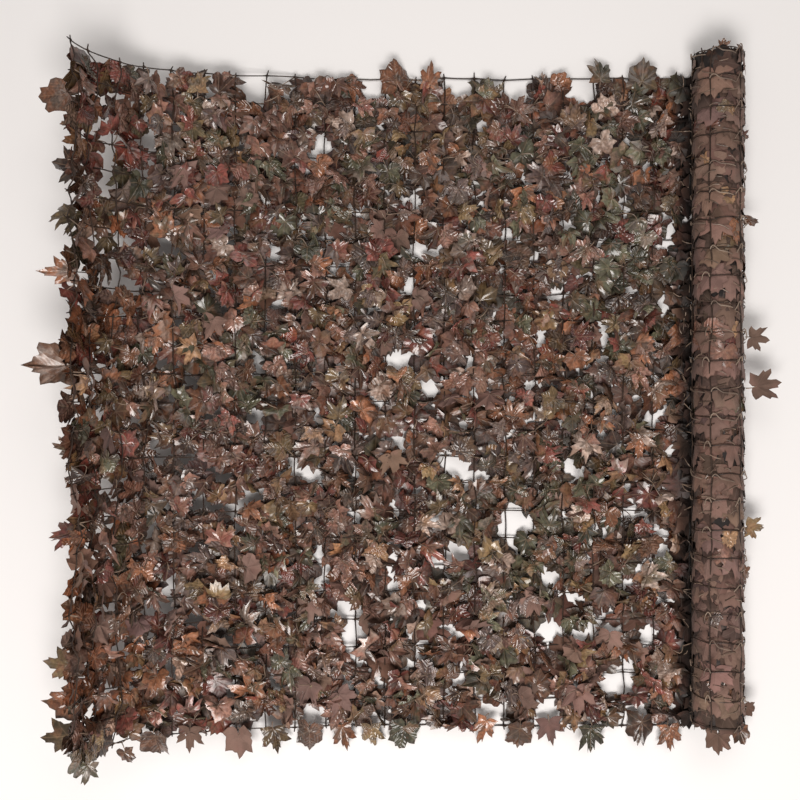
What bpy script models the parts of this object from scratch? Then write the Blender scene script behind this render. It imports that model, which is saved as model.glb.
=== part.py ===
"""Balcony privacy screen: printed leaves on plastic netting, partly unrolled, face up.

Metres, +Z up. X runs along the length and Y across the width. The origin is on the ground,
under the middle of the loose end. The roll lies at +X, and the free end curls up at -X.
"""
import math
from collections import namedtuple

import bmesh
import bpy
from mathutils import Matrix, Vector
from mathutils.bvhtree import BVHTree

# ---------------------------------------------------------------- driving dimensions

ROWS = 24                       # meshes across the width
WIDTH = 1.0                     # netting width, edge cord to edge cord
MESH_Y = WIDTH / ROWS
MESH_X = 0.0459                 # cord spacing along the length
CORD = 0.002                    # netting thickness
GAP = 0.00033                   # play between neighbouring pieces

ROLL_RADIUS = 0.039
ROLL_X = 0.4635                 # where the loose end leaves the roll
ROLL_SHIFT = 0.019              # how far the roll sits towards +Y of the loose end
ROLL_STATIONS = 13
ROLL_SIDES = 28
ROLL_SWELL = 0.0012             # unevenness of the roll's radius along it
FLAT_SPOT = 0.026               # width on which the roll rests
TURN_LENGTH = 0.027             # the turn that comes off the roll
TURN_HEIGHT = 0.008

FIRST_CORD = 0.015              # from the netting's covered end to the first free cord
FLAT_MESHES = 10                # meshes that lie flat on the ground
LIFT_TILT = 0.05                # the +Y corner of the free end stands higher than the -Y one
LIFT_SWELL = 0.03               # unevenness of the free end's rise across the width

PILE = 0.019                    # mean height of the leaves over the netting
PILE_SWELL = 0.0022             # unevenness of that height
PILE_EDGE = 0.62                # share of that height at the outline
PILE_SETBACK = 0.0079           # leaves end this far short of the turn, below the roll's bulge
PILE_OVERHANG = 0.012           # leaves past the last cord of the free end

HOLE_BORDER = 0.075             # rim left round an open mesh, as a share of the mesh
LEAF_THICKNESS = 0.0012
STEM = 0.0016                   # width of a leaf's stem
SEAT = 0.00045                  # from a leaf to the piece that carries it
RAY = 0.2                       # how far off a leaf starts before it slides up to that piece

# Waves that make a size uneven. along and across are in radians for each mesh on the pile,
# and in radians for each metre on the free end's rise and the roll.
Wave = namedtuple("Wave", "share along across start")
LIFT_WAVES = (Wave(1.0, 0.0, 9.0, 0.8),)
ROLL_WAVES = (Wave(1.0, 0.0, 11.0, 1.0), Wave(0.6, 0.0, 23.0, 0.0))
PILE_WAVES = (Wave(1.0, 1.7, 0.6, 0.0), Wave(1.0, -0.9, 1.3, 1.0), Wave(0.7, 0.5, 2.9, 0.0))

# The free end rises in steps: length in meshes, slope in degrees.
Step = namedtuple("Step", "meshes slope")
STEPS = (
    Step(1.0, 2), Step(1.0, 3), Step(1.0, 5), Step(1.0, 7), Step(1.0, 8), Step(1.0, 9),
    Step(1.0, 9), Step(1.0, 13),
    Step(0.5, 34), Step(0.5, 48), Step(0.5, 55), Step(0.5, 63), Step(0.5, 78), Step(0.5, 88),
)

# Open meshes, counted from the roll (column) and from the +Y edge (row).
Mesh = namedtuple("Mesh", "column row")
EDGE_GAPS = (
    Mesh(3, 0), Mesh(5, 0), Mesh(7, 0), Mesh(10, 0), Mesh(14, 0),
)
INNER_GAPS = (
    Mesh(9, 10), Mesh(8, 11), Mesh(7, 14), Mesh(5, 16), Mesh(7, 17), Mesh(4, 18), Mesh(2, 20),
    Mesh(4, 20), Mesh(2, 22), Mesh(1, 23), Mesh(4, 23), Mesh(6, 23), Mesh(12, 23),
)

# How far the leaves reach past the two long edges, in millimetres, at each cord.
Reach = namedtuple("Reach", "cord top bottom")
REACHES = (
    Reach(0, 3, 4), Reach(1, 5, 7), Reach(2, 8, 9), Reach(3, 2, 6), Reach(4, 1, 8),
    Reach(5, 6, 9), Reach(6, 1, 7), Reach(7, 7, 8), Reach(8, 1, 4), Reach(9, 3, 6),
    Reach(10, 4, 8), Reach(11, 0, 7), Reach(12, 1, 9), Reach(13, 7, 8), Reach(14, 6, 6),
    Reach(15, 0, 7), Reach(16, 1, 9), Reach(17, 5, 6), Reach(18, 8, 9), Reach(19, 4, 7),
    Reach(20, 2, 5), Reach(21, 1, 3), Reach(22, 2, 4),
)

# Leaves that reach past the outline. x, y, z is the place that carries the stem, in
# millimetres. heading (from +X), rise and bank are in degrees. length and width are in
# millimetres.
Leaf = namedtuple("Leaf", "name x y z heading rise bank length width colour")
LEAVES = (
    Leaf("leaf_left_01", -455, 430, 128, 176, 4, 10, 64, 46, "rust"),
    Leaf("leaf_left_02", -455, 392, 132, 182, -6, 30, 30, 24, "red"),
    Leaf("leaf_left_03", -455, 330, 118, 170, 8, -20, 46, 54, "brown"),
    Leaf("leaf_left_04", -455, 270, 126, 186, -4, 25, 58, 42, "olive"),
    Leaf("leaf_left_05", -455, 184, 120, 178, 6, -15, 60, 40, "rust"),
    Leaf("leaf_left_06", -455, 54, 126, 183, 3, 12, 74, 66, "olive"),
    Leaf("leaf_left_07", -455, -68, 118, 172, 10, -28, 50, 36, "brown"),
    Leaf("leaf_left_08", -455, -182, 122, 188, -5, 18, 58, 34, "red"),
    Leaf("leaf_left_09", -455, -372, 126, 174, 5, 12, 58, 44, "olive"),
    Leaf("leaf_left_10", -455, -424, 112, 184, 2, -16, 64, 46, "rust"),
    Leaf("leaf_left_11", -455, -466, 134, 187, -8, 8, 60, 40, "olive"),
    Leaf("leaf_corner_01", -452, -480, 118, 262, 4, -12, 38, 36, "green"),
    Leaf("leaf_corner_02", -428, -480, 78, 286, -6, 10, 30, 30, "brown"),
    Leaf("leaf_top_01", -315, 480, 44, 88, 4, -8, 26, 28, "olive"),
    Leaf("leaf_top_02", -20, 480, 10, 96, 10, 12, 28, 40, "rust"),
    Leaf("leaf_top_03", 32, 480, 10, 88, 4, -6, 20, 22, "rust"),
    Leaf("leaf_top_04", 290, 480, 10, 92, 12, 8, 32, 40, "green"),
    Leaf("leaf_top_05", 356, 480, 10, 86, 4, -8, 22, 28, "olive"),
    Leaf("leaf_bottom_01", -380, -480, 47, 272, -9, 6, 28, 36, "brown"),
    Leaf("leaf_bottom_02", -330, -480, 38, 266, -10, -5, 24, 30, "taupe"),
    Leaf("leaf_bottom_03", -259, -480, 27, 270, -8, 4, 34, 46, "taupe"),
    Leaf("leaf_bottom_04", -210, -480, 19, 278, -6, -6, 30, 34, "olive"),
    Leaf("leaf_bottom_05", -151, -480, 11, 266, -4, 4, 34, 40, "brown"),
    Leaf("leaf_bottom_06", -108, -480, 9, 282, -3, -7, 28, 34, "rust"),
    Leaf("leaf_bottom_07", -60, -480, 7, 276, -1, 6, 30, 36, "olive"),
    Leaf("leaf_bottom_08", -4, -480, 7, 258, -1, -3, 30, 48, "green"),
    Leaf("leaf_bottom_09", 122, -480, 7, 250, -1, 7, 22, 28, "rust"),
    Leaf("leaf_bottom_10", 170, -480, 7, 268, -1, -4, 32, 42, "brown"),
    Leaf("leaf_bottom_11", 213, -480, 7, 280, -1, 3, 22, 28, "taupe"),
    Leaf("leaf_bottom_12", 276, -480, 7, 272, -1, -6, 32, 38, "green"),
    Leaf("leaf_bottom_13", 358, -480, 7, 262, -1, 4, 22, 32, "brown"),
    Leaf("leaf_bottom_14", 396, -480, 7, 276, -1, -3, 32, 28, "rust"),
    Leaf("leaf_roll_01", 463, 413, 34, 350, -10, 20, 18, 22, "red"),
    Leaf("leaf_roll_02", 463, 287, 42, 344, 6, -30, 24, 22, "rust"),
    Leaf("leaf_roll_03", 463, 104, 40, 352, 4, 10, 36, 40, "taupe"),
    Leaf("leaf_roll_04", 463, 14, 44, 10, 6, -8, 56, 48, "taupe"),
    Leaf("leaf_roll_05", 463, -184, 38, 356, -4, 14, 34, 40, "olive"),
    Leaf("leaf_roll_06", 463, -242, 34, 338, -8, -16, 22, 34, "brown"),
    Leaf("leaf_roll_07", 463, -455, 40, 352, -6, 12, 20, 28, "taupe"),
    Leaf("leaf_roll_08", 488, -470, 44, 290, -6, 16, 34, 28, "rust"),
    Leaf("leaf_roll_09", 458, -470, 62, 264, 4, -8, 38, 46, "taupe"),
    Leaf("leaf_roll_10", 458, 500, 66, 84, 8, 10, 18, 20, "rust"),
)

# Half of a leaf's blade, from the stem's foot to the tip, as shares of its width and length.
Point = namedtuple("Point", "across along")
HALF_LEAF = (
    Point(0.22, 0.25), Point(0.37, 0.30), Point(0.28, 0.43), Point(0.50, 0.59),
    Point(0.28, 0.63), Point(0.24, 0.78), Point(0.00, 1.00),
)
BLADE_FOOT = 0.30               # where the stem meets the blade, as a share of the length
FOLD = math.radians(14)         # each half rises this much from the midrib

Finish = namedtuple("Finish", "red green blue roughness")
FINISHES = {
    "net": Finish(0.030, 0.024, 0.023, 0.45),
    "cover": Finish(0.110, 0.070, 0.048, 0.6),
    "roll": Finish(0.155, 0.115, 0.098, 0.6),
    "rust": Finish(0.270, 0.085, 0.030, 0.5),
    "red": Finish(0.130, 0.028, 0.020, 0.5),
    "brown": Finish(0.120, 0.066, 0.040, 0.5),
    "olive": Finish(0.160, 0.110, 0.038, 0.5),
    "green": Finish(0.060, 0.066, 0.044, 0.5),
    "taupe": Finish(0.175, 0.120, 0.100, 0.7),
}


# ---------------------------------------------------------------- scene helpers

def clear_scene():
    for obj in list(bpy.data.objects):
        bpy.data.objects.remove(obj, do_unlink=True)


def material(name, finish):
    mat = bpy.data.materials.new(name)
    mat.use_nodes = True
    shader = mat.node_tree.nodes["Principled BSDF"]
    shader.inputs["Base Color"].default_value = (finish.red, finish.green, finish.blue, 1.0)
    shader.inputs["Roughness"].default_value = finish.roughness
    shader.inputs["Metallic"].default_value = 0.0
    return mat


def add_object(name, mesh, finish, collection, parent):
    obj = bpy.data.objects.new(name, mesh)
    mesh.materials.append(material(name, FINISHES[finish]))
    collection.objects.link(obj)
    obj.parent = parent
    return obj


def unevenness(waves, along, across):
    """Sum of some waves at a place."""
    total = 0.0
    for wave in waves:
        total += wave.share * math.sin(wave.along * along + wave.across * across + wave.start)
    return total


# ---------------------------------------------------------------- the sheet's section

Line = namedtuple("Line", "x z normal cord")


def sheet_lines():
    """The netting's underside as lines across the width, from the roll to the free end."""
    spans = [(FIRST_CORD, 0.0, 1.0)]
    spans += [(MESH_X, 0.0, 1.0)] * FLAT_MESHES
    spans += [(step.meshes * MESH_X, math.radians(step.slope), step.meshes) for step in STEPS]

    x = ROLL_X - TURN_LENGTH - GAP
    z = 0.0
    cord = 0.0
    lines = []
    slope_before = 0.0
    for length, slope, share in spans:
        lines.append(Line(x, z, mitred_normal(slope_before, slope), cord))
        x -= length * math.cos(slope)
        z += length * math.sin(slope)
        cord += share
        slope_before = slope
    lines.append(Line(x, z, mitred_normal(slope_before, slope_before), cord))
    return lines


def mitred_normal(slope_a, slope_b):
    """Offset direction where two slopes meet, lengthened so that the sheet stays even."""
    middle = (slope_a + slope_b) / 2
    stretch = 1 / math.cos((slope_b - slope_a) / 2)
    return Vector((math.sin(middle), 0, math.cos(middle))) * stretch


def between(table, position):
    """Straight-line reading of a table of values at a place between its rows."""
    low = min(int(position), len(table) - 2)
    share = position - low
    return table[low] * (1 - share) + table[low + 1] * share


def lift_at(y):
    """Share by which the free end's rise differs across the width."""
    return 1 + LIFT_TILT * y + LIFT_SWELL * unevenness(LIFT_WAVES, 0, y)


def sheet_point(lines, u, y, height):
    """A point over line position u, at y, at a height over the netting's underside."""
    x = between([line.x for line in lines], u)
    z = between([line.z for line in lines], u) * lift_at(y)
    low = min(int(u), len(lines) - 2)
    normal = lines[low].normal.lerp(lines[low + 1].normal, u - low)
    return Vector((x, y, z)) + normal * height


# ---------------------------------------------------------------- netting and leaf cover

def find_line(lines, cord):
    """The line that lies on a numbered cord. The first free cord is number 0."""
    for index, line in enumerate(lines):
        if line.cord == cord + 1:
            return index
    raise ValueError("no line on this cord")


def flat_pattern(lines, open_meshes, removed_meshes, border):
    """The sheet as a flat grid of unit meshes, with its open meshes cut out."""
    columns = len(lines) - 1
    bm = bmesh.new()
    bmesh.ops.create_grid(bm, x_segments=columns, y_segments=ROWS, size=0.5)
    for vert in bm.verts:
        vert.co.x = round((vert.co.x + 0.5) * columns)
        vert.co.y = round((0.5 - vert.co.y) * ROWS)
    bm.normal_update()

    def faces_at(meshes):
        wanted = {(find_line(lines, mesh.column), mesh.row) for mesh in meshes}
        found = []
        for face in bm.faces:
            centre = face.calc_center_median()
            if (int(centre.x), int(centre.y)) in wanted:
                found.append(face)
        return found

    holes = faces_at(open_meshes)
    bmesh.ops.inset_individual(bm, faces=holes, thickness=border, use_even_offset=True)
    bmesh.ops.delete(bm, geom=holes + faces_at(removed_meshes), context="FACES")
    raised = bmesh.ops.extrude_face_region(bm, geom=bm.faces[:])["geom"]
    for vert in raised:
        if isinstance(vert, bmesh.types.BMVert):
            vert.co.z = 1
    return bm


def finish_mesh(bm, name):
    bmesh.ops.triangulate(bm, faces=bm.faces[:])
    bmesh.ops.recalc_face_normals(bm, faces=bm.faces[:])
    mesh = bpy.data.meshes.new(name)
    bm.to_mesh(mesh)
    bm.free()
    return mesh


def netting_mesh(lines):
    bm = flat_pattern(lines, EDGE_GAPS + INNER_GAPS, (), HOLE_BORDER)
    for vert in bm.verts:
        u, v, layer = vert.co
        vert.co = sheet_point(lines, u, WIDTH / 2 - v * MESH_Y, layer * CORD)
    return finish_mesh(bm, "netting")


def pile_height(u, v, columns):
    """Height of the leaves over the netting, lower and uneven towards the outline."""
    height = PILE + PILE_SWELL * unevenness(PILE_WAVES, u, v)
    on_outline = v in (0, ROWS) or u in (0, columns)
    return height * (PILE_EDGE if on_outline else 1.0)


def leaf_cover_mesh(lines):
    bm = flat_pattern(lines, INNER_GAPS, EDGE_GAPS, HOLE_BORDER)
    columns = len(lines) - 1
    end = lines[-1]
    before = lines[-2]
    outward = Vector((end.x - before.x, 0, end.z - before.z)).normalized()
    top_reach = [reach.top / 1000 for reach in REACHES]
    bottom_reach = [reach.bottom / 1000 for reach in REACHES]
    for vert in bm.verts:
        u, v, layer = vert.co
        cord = between([line.cord for line in lines], u)
        y = WIDTH / 2 - v * MESH_Y
        if v == 0:
            y += between(top_reach, cord)
        if v == ROWS:
            y -= between(bottom_reach, cord)
        height = CORD + GAP + layer * pile_height(u, v, columns)
        vert.co = sheet_point(lines, u, y, height)
        if u == 0:
            vert.co.x -= PILE_SETBACK
        if u == columns:
            vert.co += outward * PILE_OVERHANG
    return finish_mesh(bm, "leaf_cover")


# ---------------------------------------------------------------- roll

def roll_section(y):
    """The wound section at y: the turn that comes off, the flat spot and the round."""
    radius = ROLL_RADIUS + ROLL_SWELL * unevenness(ROLL_WAVES, 0, y)
    turn_x = ROLL_X - TURN_LENGTH
    first = math.asin(FLAT_SPOT / 2 / radius)
    last = 2 * math.pi - math.acos(1 - TURN_HEIGHT / radius)
    lowest = radius * math.cos(first)
    points = [(turn_x, 0.0)]
    for side in range(ROLL_SIDES):
        angle = first + (last - first) * side / (ROLL_SIDES - 1)
        z = lowest - radius * math.cos(angle)
        points.append((ROLL_X + radius * math.sin(angle), max(z, 0.0)))
    points.append((turn_x, points[-1][1]))
    return points


def roll_mesh():
    bm = bmesh.new()
    rings = []
    for station in range(ROLL_STATIONS):
        y = ROLL_SHIFT + WIDTH * (station / (ROLL_STATIONS - 1) - 0.5)
        rings.append([bm.verts.new((x, y, z)) for x, z in roll_section(y)])
    for ring_a, ring_b in zip(rings, rings[1:]):
        for index in range(len(ring_a)):
            after = (index + 1) % len(ring_a)
            bm.faces.new((ring_a[index], ring_a[after], ring_b[after], ring_b[index]))
    bm.faces.new(rings[0])
    bm.faces.new(list(reversed(rings[-1])))
    return finish_mesh(bm, "roll")


# ---------------------------------------------------------------- edge leaves

def leaf_mesh(name, length, width):
    """Half a leaf with its stem, folded up from the midrib. Mirror makes the other half."""
    corners = [(0.0, 0.0), (STEM / 2, 0.0), (STEM / 2, BLADE_FOOT * length)]
    corners += [(point.across * width, point.along * length) for point in HALF_LEAF]
    bm = bmesh.new()
    verts = []
    for across, along in corners:
        verts.append(bm.verts.new((across * math.cos(FOLD), along, across * math.sin(FOLD))))
    bm.faces.new(verts)
    mesh = bpy.data.meshes.new(name)
    bm.to_mesh(mesh)
    bm.free()
    return mesh


def leaf_axes(leaf):
    """A leaf's own axes: +Y along it, +Z out of its face."""
    heading = Matrix.Rotation(math.radians(leaf.heading - 90), 3, "Z")
    rise = Matrix.Rotation(math.radians(leaf.rise), 3, "X")
    bank = Matrix.Rotation(math.radians(leaf.bank), 3, "Y")
    return heading @ rise @ bank


def add_leaf(leaf, collection, parent):
    mesh = leaf_mesh(leaf.name, leaf.length / 1000, leaf.width / 1000)
    obj = add_object(leaf.name, mesh, leaf.colour, collection, parent)
    mirror = obj.modifiers.new("other_half", "MIRROR")
    mirror.merge_threshold = 0.0001
    thick = obj.modifiers.new("thickness", "SOLIDIFY")
    thick.thickness = LEAF_THICKNESS
    thick.offset = 0.0
    thick.use_even_offset = True
    return obj


def seat_leaf(obj, leaf, carriers, depsgraph):
    """Slide a leaf stem first, along itself, to just off the piece that carries it."""
    axes = leaf_axes(leaf)
    outward = axes @ Vector((0, 1, 0))
    start = Vector((leaf.x, leaf.y, leaf.z)) / 1000 + outward * RAY
    nearest = 2 * RAY
    room = SEAT
    for vert in obj.evaluated_get(depsgraph).data.vertices:
        for tree in carriers:
            place, normal, _, travel = tree.ray_cast(start + axes @ vert.co, -outward, nearest)
            if place:
                nearest = travel
                room = SEAT / abs(normal.dot(outward))
    seat = start - outward * (nearest - room)
    obj.matrix_world = Matrix.Translation(seat) @ axes.to_4x4()


# ---------------------------------------------------------------- the whole

def build():
    clear_scene()
    collection = bpy.data.collections.new("balcony_privacy_screen")
    bpy.context.scene.collection.children.link(collection)
    parent = bpy.data.objects.new("screen", None)
    collection.objects.link(parent)

    lines = sheet_lines()
    pieces = (
        add_object("netting", netting_mesh(lines), "net", collection, parent),
        add_object("leaf_cover", leaf_cover_mesh(lines), "cover", collection, parent),
        add_object("roll", roll_mesh(), "roll", collection, parent),
    )
    leaves = [(add_leaf(leaf, collection, parent), leaf) for leaf in LEAVES]
    bpy.context.view_layer.update()
    depsgraph = bpy.context.evaluated_depsgraph_get()
    carriers = [BVHTree.FromObject(piece, depsgraph) for piece in pieces]
    for obj, leaf in leaves:
        seat_leaf(obj, leaf, carriers, depsgraph)
    bpy.context.view_layer.update()


build()
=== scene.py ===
"""Balcony privacy screen, the looks: moulded cords, printed leaves on their stems, the roll.

Metres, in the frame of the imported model. The netting is one long sheet. A place on it is
s, y, h: s runs along the netting from the covered end (0) to the free end, and below 0 it runs
on into the roll. y runs across it, and h is the height over the netting's back, on its leaf side.
"""
import math
from collections import defaultdict, namedtuple

import bpy
import numpy as np
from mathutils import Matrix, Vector
from numpy.random import default_rng


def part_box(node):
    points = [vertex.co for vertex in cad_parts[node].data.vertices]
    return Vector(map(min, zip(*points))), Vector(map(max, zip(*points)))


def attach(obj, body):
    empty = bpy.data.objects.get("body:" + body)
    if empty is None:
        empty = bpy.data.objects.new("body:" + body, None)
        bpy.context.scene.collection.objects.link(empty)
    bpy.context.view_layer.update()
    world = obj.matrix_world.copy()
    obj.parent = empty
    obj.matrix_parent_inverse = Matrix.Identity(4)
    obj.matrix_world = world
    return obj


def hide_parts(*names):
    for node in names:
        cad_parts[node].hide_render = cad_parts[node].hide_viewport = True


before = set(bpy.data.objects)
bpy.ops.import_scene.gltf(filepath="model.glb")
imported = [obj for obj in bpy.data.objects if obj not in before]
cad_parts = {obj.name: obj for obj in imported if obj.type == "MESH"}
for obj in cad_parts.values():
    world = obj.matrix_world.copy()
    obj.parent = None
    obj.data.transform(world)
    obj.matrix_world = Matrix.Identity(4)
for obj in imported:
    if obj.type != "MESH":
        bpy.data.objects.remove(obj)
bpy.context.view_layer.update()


def table(kind, *rows):
    """Rows of one kind of namedtuple."""
    return [kind(*row) for row in rows]


# ------------ sizes of the CAD model

ROWS = 24  # meshes across the width
WIDTH = 1.0
MESH_Y = WIDTH / ROWS
MESH_X = 0.0459  # cord spacing along the length
FIRST_CORD = 0.015
FLAT_MESHES = 10
LAID_CORDS = 22  # cross cords of the laid-out stretch
START_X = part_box("netting")[1][0]
ROLL_X = 0.4635  # where the netting leaves the roll
ROLL_RADIUS = 0.039
ROLL_SHIFT = 0.019  # how far the wound netting sits towards +Y
SHIFT_LENGTH = 0.12  # of netting, over which it goes there
ROLL_PITCH = 0.0045  # thickness of one turn of netting and leaves
ROLL_CORE = 0.005
LIFT_TILT = 0.05  # the rise grows by this share for each metre towards +Y
LIFT_SWELL = 0.03

# The free end rises in steps: their lengths in meshes, and their slopes in degrees.
STEP_MESHES = np.repeat((1.0, 0.5), (8, 6))
STEP_SLOPES = (2, 3, 5, 7, 8, 9, 9, 13, 34, 48, 55, 63, 78, 88)

# Open meshes: columns counted from the roll, and rows from the +Y edge.
OPEN_COLUMNS, OPEN_ROWS = np.array((
    (3, 0), (5, 0), (7, 0), (10, 0), (14, 0), (9, 10), (8, 11), (7, 14), (5, 16), (7, 17),
    (4, 18), (2, 20), (4, 20), (2, 22), (1, 23), (4, 23), (6, 23), (12, 23),
)).T

# ------------ the sheet

GRID = 0.001  # spacing of the sheet's section samples


def sheet_section():
    """s, x, z and turning angle along the sheet, from the core of the roll to the free end."""
    lengths = MESH_X * STEP_MESHES
    ends = FIRST_CORD + MESH_X * FLAT_MESHES + np.cumsum(lengths)
    places = (-1.0, FIRST_CORD + MESH_X * (FLAT_MESHES - 0.5), *(ends - lengths / 2))
    laid = np.arange(0, ends[-1] + GRID, GRID)
    laid_angle = np.interp(laid, places, (0, 0, *-np.radians(STEP_SLOPES)))

    wound_angle = []
    turned_by = 0.0
    straight = ROLL_X - START_X
    radius = ROLL_RADIUS
    reach = 0.0
    while radius > ROLL_CORE:
        reach += GRID
        if reach > straight:
            turned_by += GRID / radius
            radius = ROLL_RADIUS - ROLL_PITCH * turned_by / (2 * math.pi)
        wound_angle.append(turned_by)
    angle = np.concatenate([wound_angle[::-1], laid_angle])
    zero = len(wound_angle)
    s = GRID * (np.arange(len(angle)) - zero)
    middle = (angle[:-1] + angle[1:]) / 2
    x = np.concatenate([[0], -np.cumsum(np.cos(middle)) * GRID])
    z = np.concatenate([[0], -np.cumsum(np.sin(middle)) * GRID])
    return s, x - x[zero] + START_X, z - z[zero], angle


S_GRID, X_GRID, Z_GRID, ANGLE_GRID = sheet_section()
S_CORE = S_GRID[0]
S_END = S_GRID[-1]


def eased(share):
    """A smooth step from 0 to 1."""
    share = np.clip(share, 0, 1)
    return share * share * (3 - 2 * share)


def surface(s, y, h):
    """World positions of places on the sheet."""
    inside = np.clip(s, S_CORE, S_END)
    angle = np.interp(inside, S_GRID, ANGLE_GRID)
    beyond = s - inside
    x = np.interp(inside, S_GRID, X_GRID) - beyond * np.cos(angle)
    z = np.interp(inside, S_GRID, Z_GRID) - beyond * np.sin(angle)
    lift = 1 + LIFT_TILT * y + LIFT_SWELL * np.sin(9 * y + 0.8)
    z = np.where(s > 0, z * lift, z)
    y = y + ROLL_SHIFT * eased(-s / SHIFT_LENGTH)
    return np.stack([x - h * np.sin(angle), y, z + h * np.cos(angle)], axis=-1)


def rotated(a, b, angle):
    """Two steps at right angles, turned by the angle from the first towards the second."""
    cos, sin = np.cos(angle), np.sin(angle)
    return a * cos - b * sin, a * sin + b * cos


RISE_START = 0.80  # s from where the free end stands up
RISE_LENGTH = 0.09


def raised_end(s):
    """From 0 on the ground to 1 where the free end stands up."""
    return eased((s - RISE_START) / RISE_LENGTH)


def cord_s(number):
    """s of a cross cord. 0 is the first one that the roll leaves free."""
    return FIRST_CORD + MESH_X * number


def cord_y(row):
    return WIDTH / 2 - MESH_Y * row


# ------------ materials

class Look:
    """A material, with short calls for its nodes."""

    def __init__(self, name):
        self.mat = bpy.data.materials.new(name)
        self.mat.use_nodes = True
        self.tree = self.mat.node_tree

    def feed(self, node, inputs):
        """Sets or links inputs of a node, given by index or name."""
        for where, value in inputs.items():
            if isinstance(value, bpy.types.NodeSocket):
                self.tree.links.new(value, node.inputs[where])
            else:
                node.inputs[where].default_value = value

    def add(self, kind, inputs=(), **settings):
        """The outputs of a new node. A plain row of inputs is in the node's own order."""
        node = self.tree.nodes.new("ShaderNode" + kind)
        for key, value in settings.items():
            setattr(node, key, value)
        self.feed(node, inputs if isinstance(inputs, dict) else dict(enumerate(inputs)))
        return node.outputs

    def math(self, operation, *values):
        return self.add("Math", values, operation=operation)[0]

    def ramp(self, value, low, high, to_low=0.0, to_high=1.0):
        """Smooth step from to_low to to_high as value goes from low to high."""
        values = (value, low, high, to_low, to_high)
        return self.add("MapRange", values, interpolation_type="SMOOTHSTEP")[0]

    def mix(self, share, a, b, blend="MIX"):
        return self.add("Mix", {0: share, 6: a, 7: b}, data_type="RGBA", blend_type=blend)[2]

    def scaled(self, colour, value):
        return self.mix(1.0, colour, self.add("CombineXYZ", [value] * 3)[0], "MULTIPLY")

    def noise(self, vector, scale, detail=2.0, roughness=0.5):
        inputs = {"Vector": vector, "Scale": scale, "Detail": detail, "Roughness": roughness}
        return self.add("TexNoise", inputs)["Fac"]

    def mottle(self, vector, scale, detail, *steps, roughness=0.5):
        """Noise, brought between two values by a smooth step."""
        return self.ramp(self.noise(vector, scale, detail, roughness), *steps)

    def attribute(self, name, output="Color"):
        return self.add("Attribute", attribute_name=name)[output]

    def numbers(self, name):
        """The three numbers of a vector attribute."""
        return self.add("SeparateXYZ", [self.attribute(name, "Vector")])

    def bump(self, height, strength, distance):
        return self.add("Bump", {"Height": height, "Strength": strength, "Distance": distance})[0]

    def shader(self, inputs):
        """The material, once its shader is fed."""
        self.feed(self.tree.nodes["Principled BSDF"], inputs)
        return self.mat


PLEAT = 0.0062  # from one pleat to the next, along the vein
VEIN = (0.0002, 0.0010)  # from a vein's middle: still full, and gone
PRINT_ORANGE = (0.25, 0.112, 0.062, 1)
PRINT_UMBER = (0.062, 0.050, 0.040, 1)
PRINT_VEIN = (0.30, 0.20, 0.13, 1)
PRINT_RIM = (0.050, 0.028, 0.018, 1)
BACK_BLUSH = (0.250, 0.128, 0.105, 1)
BACK_VEIN = (0.28, 0.20, 0.16, 1)
BACK_RIM_PAINTED_SHADE = (0.050, 0.030, 0.022, 1)
# painted shade: the warm tint of what lies low in the pile
PAINTED_SHADE_TINT = (1.0, 0.80, 0.68, 1)  # of what lies low in the pile
# The roll's inner turns: partly their own dark colour, partly painted shade in the gaps between
# the outer leaves.
TURN_DARK = (0.010, 0.006, 0.005, 1)
TURN_LIGHT = (0.060, 0.038, 0.030, 1)
TURN_WARM = (0.07, 0.028, 0.014, 1)
FLOOR_WHITE = (0.91, 0.90, 0.90, 1)


def leaf_fields(look):
    """What both leaf materials share: places on the leaf, its rim, veins and soft pleats."""
    blade = look.numbers("blade")
    rib = look.numbers("rib")
    seed = rib[2]
    place = look.add("CombineXYZ", (blade[0], blade[1], look.math("MULTIPLY", seed, 3.0)))[0]
    off_vein = look.math("ABSOLUTE", rib[1])
    vein = look.ramp(off_vein, *VEIN, 1.0, 0.0)
    wave = look.math("MULTIPLY", look.noise(place, 38.0, 0.0), 0.010)
    chevron = look.math("SUBTRACT", rib[0], look.math("MULTIPLY", off_vein, 0.85))
    turn = look.math("MULTIPLY", look.math("ADD", chevron, wave), 2 * math.pi / PLEAT)
    relief = look.ramp(seed, 0.35, 0.70, 0.06, 0.5)
    pleat = look.math("MULTIPLY", look.math("SINE", turn), relief)
    return place, blade[2], vein, pleat


def shaded(look, colour, depth):
    """Painted shade, darker and warmer towards the bottom of the pile, and painted light at its
    top.
    """
    tint = look.mix(look.ramp(depth, 0.25, 1.0), PAINTED_SHADE_TINT, (1, 1, 1, 1))
    return look.scaled(look.mix(1.0, colour, tint, "MULTIPLY"), depth)


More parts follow.
